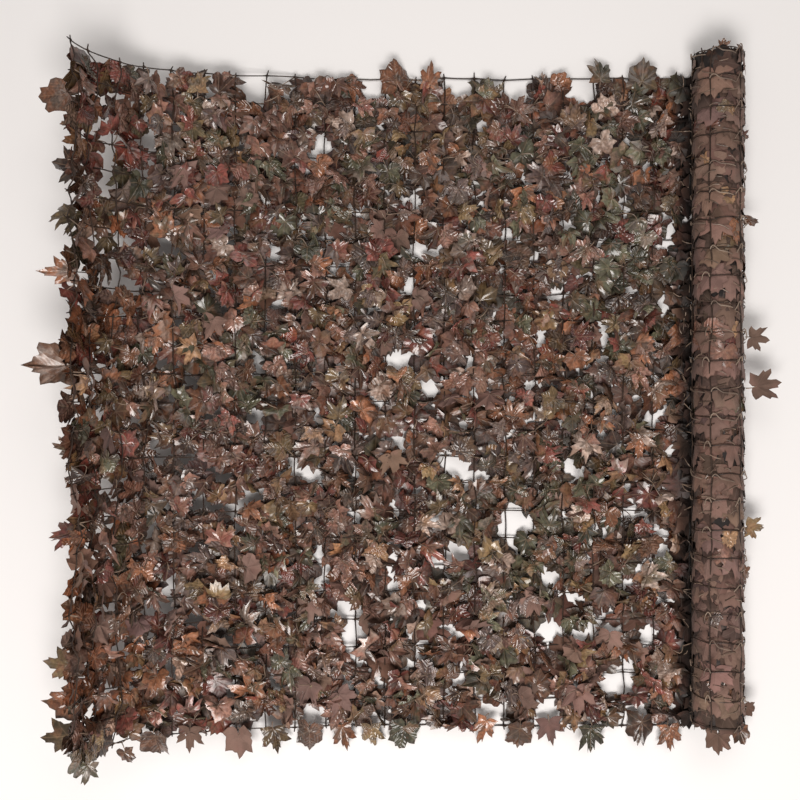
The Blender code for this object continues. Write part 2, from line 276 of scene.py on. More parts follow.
def leaf_front_material():
    look = Look("leaf_print")
    place, edge, vein, pleat = leaf_fields(look)
    blotch = look.mottle(place, 52.0, 3.0, 0.42, 0.58, roughness=0.6)
    colour = look.mix(blotch, look.attribute("ground"), look.attribute("blotch"))
    second = look.noise(place, 36.0, 2.0, 0.6)
    colour = look.mix(look.ramp(second, 0.56, 0.66, 0.0, 0.34), colour, PRINT_ORANGE)
    colour = look.mix(look.ramp(second, 0.36, 0.46, 0.60, 0.0), colour, PRINT_UMBER)
    colour = look.scaled(colour, look.mottle(place, 240.0, 2.0, 0.3, 0.7, 0.74, 1.22))
    # painted shade in the pleats' hollows and painted light on their crests
    colour = look.scaled(colour, look.ramp(pleat, -0.5, 0.5, 0.92, 1.10))
    colour = look.mix(look.math("MULTIPLY", vein, 0.30), colour, PRINT_VEIN)
    colour = look.mix(look.ramp(edge, 0.84, 1.0, 0.0, 0.40), colour, PRINT_RIM)
    depth = look.attribute("depth", "Fac")
    crumple = look.noise(place, 44.0, 0.3)
    rough = look.ramp(crumple, 0.3, 0.7, 0.19, 0.30)
    dull = look.ramp(depth, 0.30, 0.85, 0.40, 0.0)
    height = look.math("MULTIPLY_ADD", crumple, 2.5, look.math("MULTIPLY", pleat, 0.62))
    height = look.math("MULTIPLY_ADD", vein, -0.06, height)
    return look.shader({
        "Base Color": shaded(look, colour, depth),
        "Roughness": look.math("ADD", rough, dull),
        "Normal": look.bump(height, 1.0, 0.001),
        "Specular IOR Level": 0.68,
    })


def leaf_back_material():
    look = Look("leaf_back")
    place, edge, vein, pleat = leaf_fields(look)
    patch = look.noise(place, 60.0, 3.0)
    colour = look.scaled(look.attribute("back"), look.ramp(patch, 0.3, 0.7, 0.84, 1.12))
    weave = look.mottle(place, 1500.0, 1.0, 0.3, 0.7, 0.92, 1.08)
    colour = look.scaled(colour, weave)
    blush = look.mottle(place, 33.0, 1.0, 0.52, 0.68, 0.0, 0.40)
    colour = look.mix(blush, colour, BACK_BLUSH)
    colour = look.mix(look.math("MULTIPLY", vein, 0.12), colour, BACK_VEIN)
    # painted shade at the rims of the backs
    colour = look.mix(look.ramp(edge, 0.90, 1.0, 0.0, 0.30), colour, BACK_RIM_PAINTED_SHADE)
    height = look.math("MULTIPLY_ADD", weave, 0.2, look.math("MULTIPLY", pleat, -0.25))
    height = look.math("MULTIPLY_ADD", vein, 0.5, height)
    return look.shader({
        "Base Color": shaded(look, colour, look.attribute("depth", "Fac")),
        "Roughness": look.ramp(patch, 0.3, 0.7, 0.84, 0.70),
        "Normal": look.bump(height, 0.7, 0.0008),
        "Sheen Weight": 0.08,
        "Specular IOR Level": 0.25,
    })


def roll_turn_material():
    look = Look("roll_turns")
    place = look.add("TexCoord")["Object"]
    patch = look.noise(place, 38.0, 3.0, 0.6)
    # near-black: painted shade in the gaps between the roll's outer leaves, over the turns' own
    # dark brown
    colour = look.mix(look.ramp(patch, 0.50, 0.66), TURN_DARK, TURN_LIGHT)
    return look.shader({
        "Base Color": look.mix(look.mottle(place, 24.0, 2.0, 0.60, 0.66), colour, TURN_WARM),
        "Roughness": look.ramp(patch, 0.3, 0.7, 0.85, 0.65),
        "Normal": look.bump(patch, 0.6, 0.004),
    })


def plastic_material(name, dark, light, roughness):
    look = Look(name)
    place = look.add("TexCoord")["Object"]
    tone = look.mottle(place, 35.0, 3.0, 0.35, 0.68, roughness=0.6)
    fine = look.noise(place, 900.0, 2.0)
    return look.shader({
        "Base Color": look.mix(tone, (*dark, 1), (*light, 1)),
        "Roughness": look.ramp(fine, 0.3, 0.7, roughness - 0.08, roughness + 0.1),
        "Normal": look.bump(fine, 0.35, 0.0003),
        "Specular IOR Level": 0.3,
    })


# ------------ mesh helpers

def add_to_scene(name, data, place=(0, 0, 0)):
    obj = bpy.data.objects.new(name, data)
    obj.location = place
    bpy.context.scene.collection.objects.link(obj)
    return obj


def make_object(name, verts, faces, materials, smooth_angle, face_slots=None):
    """One smooth object from arrays."""
    mesh = bpy.data.meshes.new(name)
    mesh.from_pydata(verts, [], faces, shade_flat=False)
    if face_slots is not None:
        mesh.polygons.foreach_set("material_index", face_slots.astype(np.int32))
    mesh.validate()
    for mat in materials:
        mesh.materials.append(mat)
    mesh.set_sharp_from_angle(angle=math.radians(smooth_angle))
    return add_to_scene(name, mesh)


SMOOTH_ANGLE = 60  # edges sharper than this, in degrees, stay sharp
LEAF_SMOOTH_ANGLE = 42
CLEAR_OF_FLOOR = 0.0001
OFF_AXIS = np.array([0.31, 0.22, 0.92])  # no cord runs this way


def unit(vectors):
    return vectors / (np.linalg.norm(vectors, axis=1)[:, None] + 1e-12)


class Bundle:
    """Collects round tubes with closed ends into one mesh."""

    def __init__(self):
        self.verts = []
        self.faces = []
        self.count = 0

    def add(self, points, radii, sides):
        """A tube along rows of points, kept off the floor."""
        points = np.array(points, dtype=float)
        points[:, 2] = np.maximum(points[:, 2], np.max(radii) + CLEAR_OF_FLOOR)
        along = unit(np.gradient(points, axis=0))
        side = unit(np.cross(along, OFF_AXIS))
        up = np.cross(along, side)
        turn = (np.arange(sides) * 2 * np.pi / sides)[None, :, None]
        ring = np.cos(turn) * side[:, None] + np.sin(turn) * up[:, None]
        verts = points[:, None] + ring * np.asarray(radii)[:, None, None]
        self.verts += [verts.reshape(-1, 3), points[[0, -1]]]
        last = (len(points) - 1) * sides
        row = np.arange(0, last, sides)[:, None]
        here = np.arange(sides)
        after = (here + 1) % sides
        quads = np.stack([row + here, row + after, row + sides + after, row + sides + here], -1)
        quads = quads.reshape(-1, 4)
        head = np.full(sides, last + sides)
        self.faces.append(self.count + np.concatenate([
            quads[:, [0, 1, 2]], quads[:, [0, 2, 3]], np.stack([head, after, here], -1),
            np.stack([head + 1, last + here, last + after], -1)]))
        self.count += last + sides + 2

    def make(self, name, material):
        verts = np.concatenate(self.verts)
        return make_object(name, verts, np.concatenate(self.faces), [material], SMOOTH_ANGLE)


# ------------ netting

CORD_RADIUS = 0.00095
NODE_RADIUS = 0.0016
NODE_REACH = 0.0022  # how far along a cord its node makes it thicker
CORD_SIDES = 5
CROSS_HUMP = 0.0080  # leaves below hold the cross cords up by this at most
CROSS_THICKER = 1.10
WOUND_THINNER = 0.85
ROLL_CORDS = 11  # cross cords wound in the roll that are made
EDGE_CORDS = 22  # and how far the netting's edges run on into it
SPIRAL_CORDS = 28  # cross cords in the roll that have offsets
NODE_HEIGHT = 0.0045  # mean height of the nodes, which leaves below hold up
NODE_SWELL = 0.0024 * 0.7
HELD_MARGIN = 0.06  # near the netting's edges they come down to the ground
HELD_START = 0.05
CORD_PROUD = 0.0019  # how far the roll's outer cords stand out of its leaves
PROUD_START = -0.035  # s from where they do so
PROUD_LENGTH = 0.03
NODE_SPREAD = (0.0011, 0.0010)  # of the nodes' offsets in s and y
LENGTH_BOW = 0.0008  # how far cords bow between their nodes: those along the netting,
CROSS_BOW = 0.0009  # those across it,
WOUND_BOW = 0.0014  # and those along it in the roll, which all arch towards +Y as well
WOUND_ARCH = 0.0022
END_STUB = (0.006, 0.016)  # least and greatest length of the cut stubs past the free end,
TOP_STUB = (0.004, 0.009)  # the +Y edge
BOTTOM_STUB = (0.003, 0.007)  # and the -Y edge
END_SWAY = 0.0060  # how far the raised end's cross cords wander
SWAY_FROM = 15  # the cross cord up to which they don't

SPAN_STOPS = np.array([0.0, 0.05, 0.12, 0.3, 0.5, 0.7, 0.88, 0.95])
SPAN_ARCH = np.sin(np.pi * SPAN_STOPS)
SPAN_NEAR = np.minimum(SPAN_STOPS, 1 - SPAN_STOPS) * MESH_Y
SPAN_RADII = CORD_RADIUS + (NODE_RADIUS - CORD_RADIUS) * np.exp(-(SPAN_NEAR / NODE_REACH) ** 2)
STUB_STOPS = np.array([0.35, 0.8, 1.0])
STUB_RADII = np.array([0.00095, 0.0009, 0.0006])


def node_offsets():
    """Small offsets of every node of the netting, the same for the cords both ways."""
    rng = default_rng(5)
    shape = (LAID_CORDS + SPIRAL_CORDS, ROWS + 1)
    return [rng.normal(0, spread, shape) for spread in NODE_SPREAD]


OFFSET_S, OFFSET_Y = node_offsets()


def node_height(s, y):
    """Height of the netting's cords over the ground, in slow swells."""
    swell = np.sin(31 * s + 17 * y + 1.0) + np.sin(47 * y - 23 * s) + np.sin(71 * s + 2.2)
    height = NODE_HEIGHT + NODE_SWELL * swell
    edge = np.clip((WIDTH / 2 - np.abs(y)) / HELD_MARGIN, 0, 1)
    near = np.clip(s / HELD_START, 0, 1)
    end = np.clip((S_END - s) / HELD_MARGIN, 0, 1)
    wound = np.clip((PROUD_START - s) / PROUD_LENGTH, 0, 1)
    sway = 0.7 * END_SWAY * np.sin(33 * y + 40 * s) * raised_end(s)
    return np.maximum(height * edge * near * end, 0) - CORD_PROUD * wound + sway


def node_place(number, row):
    """s and y of the node where a cross cord meets a row's cord."""
    index = number + SPIRAL_CORDS
    y = cord_y(row)
    sway = END_SWAY * min(max(number - SWAY_FROM, 0) / 4, 1)
    wander = sway * (math.sin(21 * y + number) + 0.6 * math.sin(57 * y + 2.1 * number))
    return cord_s(number) + wander + OFFSET_S[index, row], y + OFFSET_Y[index, row]


def cord_line(nodes, bow, rng, arch=0.0):
    """s, y and radius along a cord through its nodes, a little bowed between them."""
    nodes = np.array(nodes)
    here, after = nodes[:-1, None], nodes[1:, None]
    spans = len(nodes) - 1
    sway = rng.normal(0, bow, (spans, 1, 2)) + np.array([0, arch])
    places = here + (after - here) * SPAN_STOPS[:, None] + SPAN_ARCH[:, None] * sway
    s, y = np.concatenate([places.reshape(-1, 2), nodes[-1:]]).T
    return s, y, np.append(np.tile(SPAN_RADII, spans), NODE_RADIUS)


def with_stub(line, step_s, step_y, at_end):
    """Adds the short cut stub that a cord keeps past its first or last node."""
    s, y, _ = (values[-1 if at_end else 0] for values in line)
    stub = (s + step_s * STUB_STOPS, y + step_y * STUB_STOPS, STUB_RADII)
    if at_end:
        return [np.append(values, out) for values, out in zip(line, stub)]
    return [np.append(out[::-1], values) for values, out in zip(line, stub)]


def add_cord(bundle, line, thicker=1.0, hump=0.0):
    """hump raises the cord between its nodes, where leaves below hold it up."""
    s, y, radius = line
    radius = radius * thicker
    arch = np.sin(np.pi * (WIDTH / 2 - y) / MESH_Y) ** 2 * (s > 0)
    bundle.add(surface(s, y, radius + node_height(s, y) + hump * arch), radius, CORD_SIDES)


def make_netting(material):
    rng = default_rng(11)
    laid = Bundle()
    wound = Bundle()
    for row in range(ROWS + 1):
        nodes = [node_place(number, row) for number in range(LAID_CORDS - 1, -2, -1)]
        line = cord_line(nodes, LENGTH_BOW, rng)
        line = with_stub(line, rng.uniform(*END_STUB), rng.normal(0, 0.002), False)
        add_cord(laid, line)
        last = -EDGE_CORDS if row in (0, 1, ROWS - 1, ROWS) else -ROLL_CORDS
        nodes = [node_place(number, row) for number in range(-1, last, -1)]
        add_cord(wound, cord_line(nodes, WOUND_BOW, rng, WOUND_ARCH), WOUND_THINNER)
    for number in range(-ROLL_CORDS, LAID_CORDS):
        nodes = [node_place(number, row) for row in range(ROWS + 1)]
        line = cord_line(nodes, CROSS_BOW, rng)
        top = rng.uniform(*TOP_STUB)
        bottom = rng.uniform(*BOTTOM_STUB)
        line = with_stub(line, rng.normal(0, 0.0015), top, False)
        line = with_stub(line, rng.normal(0, 0.0015), -bottom, True)
        hump = CROSS_HUMP * (1 + np.sin(40 * line[1] + number)) / 2
        add_cord(laid if number >= 0 else wound, line, CROSS_THICKER, hump)
    return laid.make("net_laid_out", material), wound.make("net_wound", material)


# ------------ leaves

# Half of a leaf's outline, round from the tip: angle from the midrib in degrees, and reach
# from the stem's foot as a share of the length. A vein runs to each angle that is a lobe's.
MAPLE = (
    ((0, 1.00), (8, 0.80), (13, 0.84), (19, 0.62), (27, 0.50), (37, 0.74), (47, 0.92),
     (55, 0.70), (62, 0.72), (71, 0.48), (92, 0.52), (105, 0.64), (118, 0.44), (138, 0.28),
     (162, 0.15), (180, 0.05)), (0, 47, 105))
IVY = (
    ((0, 1.00), (9, 0.86), (18, 0.88), (28, 0.74), (38, 0.84), (49, 0.96), (60, 0.80),
     (71, 0.78), (82, 0.66), (94, 0.76), (106, 0.82), (124, 0.62), (145, 0.50), (164, 0.28),
     (180, 0.06)), (0, 49, 106))
LEAF_THICKNESS = 0.0004


class LeafKind:
    """The parts of a leaf mesh that all leaves of one kind share: front, back, common rim."""

    def __init__(self, points, lobes, rings):
        degrees, reach = np.array(points).T
        right = np.radians(degrees)
        lobes = np.radians(lobes)
        self.angles = np.append(right, 2 * math.pi - right[-2:0:-1])
        self.reaches = np.append(reach, reach[-2:0:-1])
        self.veins = np.append(lobes, -lobes[1:])
        self.rings = np.array(rings)
        self.rays = len(self.angles)
        self.side = 1 + self.rays * len(rings)  # vertices of the front with the rim
        self.inner = self.side - self.rays  # and without it
        self.half_thick = np.where(np.arange(self.side) < self.inner, LEAF_THICKNESS / 2, 0)
        front = np.concatenate([[0.0], np.repeat(self.rings, self.rays)])
        # How far out each vertex is, from the stem's foot (0) to the outline (1).
        self.shares = np.concatenate([front, front[:self.inner]])
        self.off_vein = np.abs(self.from_veins(self.angles)).min(-1)
        self.make_faces()

    def from_veins(self, angle):
        return np.angle(np.exp(1j * (angle[..., None] - self.veins)))

    def make_faces(self):
        """Triangles of the front, then of the back, and the vein nearest to each corner."""
        ray = np.arange(self.rays)
        after = np.roll(ray, -1)
        strips = [(0 * ray, 1 + after, 1 + ray)]
        for ring in range(len(self.rings) - 1):
            a = 1 + ring * self.rays
            b = a + self.rays
            strips += [(a + ray, a + after, b + after), (a + ray, b + after, b + ray)]
        front = np.array(strips).transpose(2, 0, 1).reshape(-1, 3)
        back = front[:, ::-1]
        back = np.where(back < self.inner, back + self.side, back)
        self.faces = np.concatenate([front, back])
        self.slots = np.repeat([0, 1], len(front))
        middle = (self.angles + np.append(self.angles[1:], 2 * math.pi)) / 2
        vein = np.abs(self.from_veins(middle)).argmin(-1)
        corners = np.repeat(self.veins[vein], 3 * len(strips))
        self.corner_vein = np.concatenate([corners, corners])


FINE = MAPLE_FINE, IVY_FINE = [LeafKind(*outline, (0.34, 0.68, 1.0)) for outline in (MAPLE, IVY)]
PLAIN = [LeafKind(*outline, (0.55, 1.0)) for outline in (MAPLE, IVY)]


def leaf_shapes(kind, lengths, rng, press):
    """Leaves in their own space: +Y to the tip, +Z out of the print. press is their relief."""
    count = len(lengths)

    def spread(low, high):
        return rng.uniform(low, high, (count, 1, 1))

    reach = kind.reaches * (1 + rng.normal(0, 0.05, (count, kind.rays)))
    squeeze = spread(0.86, 1.10)
    radius = kind.rings[None, :, None] * reach[:, None, :]
    x = radius * np.sin(kind.angles) * squeeze
    y = radius * np.cos(kind.angles)
    pucker = 1 - np.exp(-(kind.off_vein / 0.22) ** 2)
    z = spread(0.06, 0.20) * radius * pucker  # between the veins
    z = z + spread(-0.30, 0.34) * np.abs(x) + spread(-0.55, 0.25) * x * x  # folded, hollow
    z = z - spread(-0.25, 0.75) * y * np.abs(y) + spread(-0.5, 0.5) * x * y  # curled, twisted
    z = z + 0.06 * np.sin(7 * y + 5 * x + spread(0, 6.28)) * radius  # waved
    z = z + rng.normal(0, 0.03, z.shape) * radius  # crumpled
    rows = np.stack([x, y, press * z], -1).reshape(count, -1, 3)
    foot = np.zeros((count, 1, 3))
    return np.concatenate([foot, rows], 1) * np.asarray(lengths)[:, None, None]


# Leaves of one kind, one row each in every array. s, y, h are the foot of the stem on the
# sheet. heading is measured on the sheet, from -s to +Y, and all angles are in radians.
Placed = namedtuple("Placed", "s y h heading pitch bank flip shape tints")


def take(placed, rows):
    return Placed(*(field[rows] for field in placed))


def turned(placed):
    """s, y and h of the leaves' vertices, turned and put on the sheet."""
    side = np.where(placed.flip, -1.0, 1.0)[:, None]
    x, z = rotated(placed.shape[..., 0] * side, placed.shape[..., 2] * side, -placed.bank[:, None])
    y, z = rotated(placed.shape[..., 1], z, placed.pitch[:, None])
    along, across = rotated(y, -x, placed.heading[:, None])
    return placed.s[:, None] - along, placed.y[:, None] + across, placed.h[:, None] + z


PILE_SOFT = 0.0012  # over how much height a limit bends what comes near it
GROUND = 0.0004
GROUND_SOFT = 0.0005


def softly_above(value, low, soft):
    """The value, bent softly so that it stays above low."""
    return low + np.logaddexp(0, (value - low) / soft) * soft


def between_limits(h, low, high):
    return -softly_above(-softly_above(h, low, PILE_SOFT), -high, PILE_SOFT)


# Each vertex of the front carries painted light and shade: painted shade towards the bottom of the
# pile, painted light at its top.
Batch = namedtuple("Batch", "kind shape verts tints depth")


def batch_on_sheet(kind, placed, s, y, h, depth):
    """World positions of the front, then of the back without the rim, which they share."""
    half = kind.half_thick * np.where(placed.flip, -1.0, 1.0)[:, None]
    inner = slice(0, kind.inner)
    front = surface(s, y, h + half)
    back = surface(s[:, inner], y[:, inner], (h - half)[:, inner])
    return Batch(kind, placed.shape, np.concatenate([front, back], 1), placed.tints, depth)


FIELD_KINDS = {1: ("FLOAT", "value"), 3: ("FLOAT_VECTOR", "vector"), 4: ("FLOAT_COLOR", "color")}


def make_leaves(name, batches, materials, rng):
    """One object of many leaves, with the leaf-space fields that their materials read."""
    parts = defaultdict(list)
    count = 0
    for kind, shape, world, tints, depth in batches:
        world = np.array(world, dtype=float)
        world[..., 2] = softly_above(world[..., 2], GROUND, GROUND_SOFT)
        number, each = world.shape[:2]
        shape, depth = (np.concatenate([field, field[:, :kind.inner]], 1)
                        for field in (shape, depth))
        start = count + each * np.arange(number)[:, None, None]
        edge = np.broadcast_to(kind.shares, (number, each))
        corner = shape[:, kind.faces.ravel()]
        off, on = rotated(corner[..., 0], corner[..., 1], kind.corner_vein)
        seed = np.broadcast_to(rng.uniform(0, 1, (number, 1)), on.shape)
        parts["verts"].append(world.reshape(-1, 3))
        parts["faces"].append((kind.faces[None] + start).reshape(-1, 3))
        parts["slots"].append(np.tile(kind.slots, number))
        parts["blade"].append(np.stack([shape[..., 0], shape[..., 1], edge], -1).reshape(-1, 3))
        parts["rib"].append(np.stack([on, off, seed], -1).reshape(-1, 3))
        parts["depth"].append(depth.reshape(-1, 1))
        rgba = np.pad(tints, ((0, 0), (0, 0), (0, 1)), constant_values=1)
        for which, field in enumerate(("ground", "blotch", "back")):
            parts[field].append(np.repeat(rgba[:, which], each, axis=0))
        count += number * each
    whole = {field: np.concatenate(values) for field, values in parts.items()}
    obj = make_object(name, whole["verts"], whole["faces"], materials, LEAF_SMOOTH_ANGLE,
                      whole["slots"])
    for field in ("blade", "rib", "depth", "ground", "blotch", "back"):
        values = whole[field].astype(np.float32)
        kind, data = FIELD_KINDS[values.shape[1]]
        attribute = obj.data.attributes.new(field, kind, "CORNER" if field == "rib" else "POINT")
        attribute.data.foreach_set(data, values.ravel())
    return obj


# Prints: the ground colour, the blotch colour, and how often the print is used.
Print = namedtuple("Print", "ground blotch weight")
PRINTS = {
    "rust": Print((0.290, 0.120, 0.060), (0.165, 0.070, 0.038), 0.12),
    "pink_brown": Print((0.245, 0.128, 0.096), (0.150, 0.078, 0.060), 0.20),
    "olive": Print((0.205, 0.140, 0.066), (0.120, 0.084, 0.044), 0.10),
    "red": Print((0.200, 0.058, 0.046), (0.105, 0.036, 0.030), 0.14),
    "green": Print((0.105, 0.108, 0.066), (0.058, 0.058, 0.036), 0.14),
    "grey": Print((0.155, 0.112, 0.098), (0.080, 0.056, 0.052), 0.14),
    "brown": Print((0.115, 0.060, 0.038), (0.056, 0.030, 0.021), 0.16),
    "tan": Print((0.380, 0.225, 0.120), (0.270, 0.150, 0.080), 0.03),
    "beige": Print((0.400, 0.315, 0.265), (0.230, 0.160, 0.125), 0.07),
}
LUMINANCE = np.array([0.2126, 0.7152, 0.0722])
FADED = np.array([0.95, 0.92, 0.92])
PRINT_TONE = np.array([1.44, 0.91, 0.67])  # the hue that all the prints lean to
PRINT_LEAN = 0.08
BACK_TONE = np.array([0.174, 0.105, 0.083])
BRIGHTNESS = (0.40, 1.42)  # of the prints, from leaf to leaf
BACK_BRIGHTNESS = (0.70, 1.18)
SWAPPED = 0.35  # share of the leaves whose ground and blotch change places

# Where one print is met more than elsewhere: centre on the sheet, reach, print.
PATCHES = (
    (0.110, 0.38, 0.07, "green"), (0.10, 0.24, 0.06, "green"), (0.26, -0.22, 0.07, "green"),
    (0.70, 0.04, 0.06, "green"), (0.93, 0.10, 0.10, "rust"), (0.90, -0.33, 0.09, "rust"),
    (0.20, 0.05, 0.06, "rust"), (0.90, 0.42, 0.08, "red"), (0.40, 0.43, 0.06, "olive"),
    (0.62, 0.42, 0.08, "pink_brown"), (0.55, -0.38, 0.09, "pink_brown"),
    (0.76, -0.15, 0.07, "pink_brown"),
)
PATCH_WEIGHT = 1.6


def pick_tints(s, y, rng):
    """Ground, blotch and back colours of leaves, by where they are."""
    names = list(PRINTS)
    weights = np.array([PRINTS[name].weight for name in names])
    chance = np.tile(weights, (len(s), 1))
    for middle_s, middle_y, reach, name in PATCHES:
        near = np.exp(-((s - middle_s) ** 2 + (y - middle_y) ** 2) / reach ** 2)
        chance[:, names.index(name)] += PATCH_WEIGHT * near
    chance = np.cumsum(chance / chance.sum(1, keepdims=True), 1)
    pick = (rng.uniform(size=(len(s), 1)) > chance).sum(1).clip(0, len(names) - 1)
    return tints_of([names[which] for which in pick], rng)


def worn(tint):
    """A print's colours, faded, and a little nearer to the tone that they share."""
    light = tint @ LUMINANCE
    return (tint + PRINT_LEAN * (light[:, None] * PRINT_TONE - tint)) * FADED


def tints_of(names, rng):
    """Colours of leaves with the named prints. Each leaf differs a little."""
    count = len(names)
    bright = rng.uniform(*BRIGHTNESS, (count, 1))
    ground, blotch = np.array([PRINTS[name][:2] for name in names]).transpose(1, 0, 2)
    others = np.array([row.ground for row in PRINTS.values()])
    other = others[rng.integers(0, len(others), count)]
    blotch = np.where(rng.uniform(size=(count, 1)) < 0.5, (blotch + other) / 2, blotch)
    swap = rng.uniform(size=(count, 1)) < SWAPPED
    ground, blotch = np.where(swap, blotch, ground), np.where(swap, ground, blotch)
    warm = 1 + rng.normal(0, 1, (count, 3)) * np.array([0.0, 0.03, 0.05])
    back = BACK_TONE * rng.uniform(*BACK_BRIGHTNESS, (count, 1)) * warm
    return np.stack([worn(ground * bright), worn(blotch * bright), back], 1)


HOLES_S = cord_s(OPEN_COLUMNS + 0.5)
HOLES_Y = cord_y(OPEN_ROWS + 0.5)
HOLE_S = 0.0098  # half of what stays open, along the netting
HOLE_Y = 0.0086  # and across it
HOLE_CORE = 0.003
CHINKS = 95
CHINK_SIZES = (0.0002, 0.0020)
CHINK_SPAN_S = (0.03, 0.90)  # where they may be
CHINK_SPAN_Y = (-0.48, 0.47)


def chinks():
    """Small chinks between the leaves, more towards the free end and the -Y edge."""
    rng = default_rng(14)
    s = rng.uniform(*CHINK_SPAN_S, 4 * CHINKS)
    y = rng.uniform(*CHINK_SPAN_Y, 4 * CHINKS)
    likely = (0.25 + 0.75 * (0.5 - y)) * (0.80 + 0.20 * s)
    kept = rng.uniform(size=len(s)) < likely
    radius = rng.uniform(*CHINK_SIZES, len(s))
    return s[kept][:CHINKS], y[kept][:CHINKS], radius[kept][:CHINKS]


CHINK_S, CHINK_Y, CHINK_RADIUS = chinks()
GAP_S = np.append(HOLES_S, CHINK_S)
GAP_Y = np.append(HOLES_Y, CHINK_Y)
GAP_RADIUS = np.append(np.full(len(HOLES_S), HOLE_CORE), CHINK_RADIUS)


def clear_of_gaps(kind, placed, s, y):
    """For each leaf, with vertices at s and y, whether it leaves all gaps bare."""
    clear = np.ones(len(s), dtype=bool)
    for gap_s, gap_y in zip(HOLES_S, HOLES_Y):
        clear &= (((s - gap_s) / HOLE_S) ** 2 + ((y - gap_y) / HOLE_Y) ** 2).min(1) > 1
    length = placed.shape[..., 1].max(1)
    half = kind.angles <= math.pi
    for gap_s, gap_y, radius in zip(GAP_S, GAP_Y, GAP_RADIUS):
        ahead, aside = rotated(placed.s - gap_s, placed.y - gap_y, placed.heading)
        angle = np.abs(np.arctan2(aside, ahead))
        reach = np.interp(angle, kind.angles[half], kind.reaches[half]) * length
        clear &= np.hypot(ahead, aside) > reach + radius
    return clear


# One storey of the pile: leaves along and across, height, lean, length, share of maple leaves.
STOREYS = table(
    namedtuple("Storey", "name columns rows low high lean small large maple fine"),
    ("leaves_low", 32, 36, 0.0025, 0.0060, 0.20, 0.026, 0.033, 0.35, False),
    ("leaves_middle", 26, 27, 0.0070, 0.0120, 0.45, 0.024, 0.032, 0.40, True),
    ("leaves_high", LAID_CORDS + 1, 30, 0.0110, 0.0170, 0.55, 0.021, 0.030, 0.40, True),
)
# painted shade on the low storey, under the leaves above
LOW_STOREY_PAINTED_SHADE = np.array([0.98, 0.84, 0.76])  # the low storey's prints are this much darker
MAPLE_GROWTH = 1.22  # a maple leaf is this much longer than an ivy leaf
TRIES = 10
MIDDLE = 0.36  # from a leaf's foot to its middle, as a share of its length
LEAF_LOW = 0.0012
LEAF_HIGH = 0.0235
HANGS_BELOW = 0.016  # how far leaves may hang through the raised end
HANG_THROUGH = 0.4  # and how many do
ROLL_ROOM = 0.0035  # from the leaves in the crease to the roll's cords
COVER_START = -0.022
COVER_END = S_END + 0.012
COVER_EDGE = WIDTH / 2 + 0.007
OFF_MESH = 0.14  # how far the top leaves are from the middle of their meshes, in meshes
DOWN = -math.pi / 2  # the heading to -Y
POINTS_DOWN = 0.62  # share of the leaves that point roughly there
BACK_OUT = 0.035  # share that shows its back
CREASE_END = 0.018  # but nearly all do up to here, beside the roll
# Share of the raised end's leaves that is left out, by y.
BARE = ((-0.46, -0.42, 0.15, 0.25), (0.0, 0.22, 0.22, 0.40))


def fitting(kind, placed, groups):
    """The first leaf of each group of tries that stays on the netting and off its gaps."""
    s, y, _ = turned(placed)
    good = clear_of_gaps(kind, placed, s, y)
    good &= (s.min(1) > COVER_START) & (s.max(1) < COVER_END) & (np.abs(y).max(1) < COVER_EDGE)
    good = good.reshape(groups, TRIES)
    rows = np.arange(groups) * TRIES + good.argmax(1)
    return take(placed, rows[good.any(1)])


def places_by_kind(columns, rows, maple, growth, kinds, rng):
    """Columns and rows of a grid that maple leaves take, then those that ivy leaves take."""
    column, row = (grid.ravel() for grid in np.meshgrid(columns, rows))
    is_maple = rng.uniform(size=len(column)) < maple
    for kind, longer, here in zip(kinds, (growth, 1), (is_maple, ~is_maple)):
        yield kind, longer, column[here], row[here]


def lay_storey(storey, rng):
    """Leaves of one storey, spread evenly over the netting."""
    laid = []
    for kind, longer, column, row in places_by_kind(
            range(storey.columns), range(storey.rows), storey.maple, MAPLE_GROWTH,
            FINE if storey.fine else PLAIN, rng):
        column, row = np.repeat((column, row), TRIES, axis=1)
        count = len(column)
        if storey.name == "leaves_high":
            s = cord_s(column - 0.5 + rng.normal(0, OFF_MESH, count))
        else:
            place = (column + rng.uniform(0, 1, count)) / storey.columns
            s = COVER_START + (COVER_END - COVER_START) * place
        y = WIDTH * (0.5 - (row + rng.uniform(0, 1, count)) / storey.rows)
        down = rng.uniform(size=count) < POINTS_DOWN
        heading = np.where(
            down, DOWN + rng.normal(0, 0.75, count), rng.uniform(-3.14, 3.14, count))
        length = rng.uniform(storey.small, storey.large, count) * longer
        back_out = BACK_OUT + 0.9 * (s < CREASE_END) + 0.06 * (y < -0.3)
        flip = rng.uniform(size=count) < back_out
        height = rng.uniform(storey.low, storey.high, count)
        through = rng.uniform(size=count) < HANG_THROUGH * raised_end(s)
        height = np.where(through, -0.7 * height, height)
        lean = storey.lean * (1 - 0.5 * y)  # more towards the -Y edge
        pitch = rng.normal(0.03, 1, count) * lean
        bank = rng.normal(0, 1, count) * lean
        placed = Placed(
            s + MIDDLE * length * np.cos(heading), y - MIDDLE * length * np.sin(heading),
            height, heading, pitch, bank, flip,
            leaf_shapes(kind, length, rng, 1.15 if storey.fine else 0.7),
            pick_tints(s, y, rng) * (1.0 if storey.fine else LOW_STOREY_PAINTED_SHADE))
        placed = fitting(kind, placed, count // TRIES)
        bare = raised_end(placed.s) * np.interp(placed.y, *BARE)
        placed = take(placed, rng.uniform(size=len(placed.s)) > bare)
        laid.append((kind, placed))
    return laid
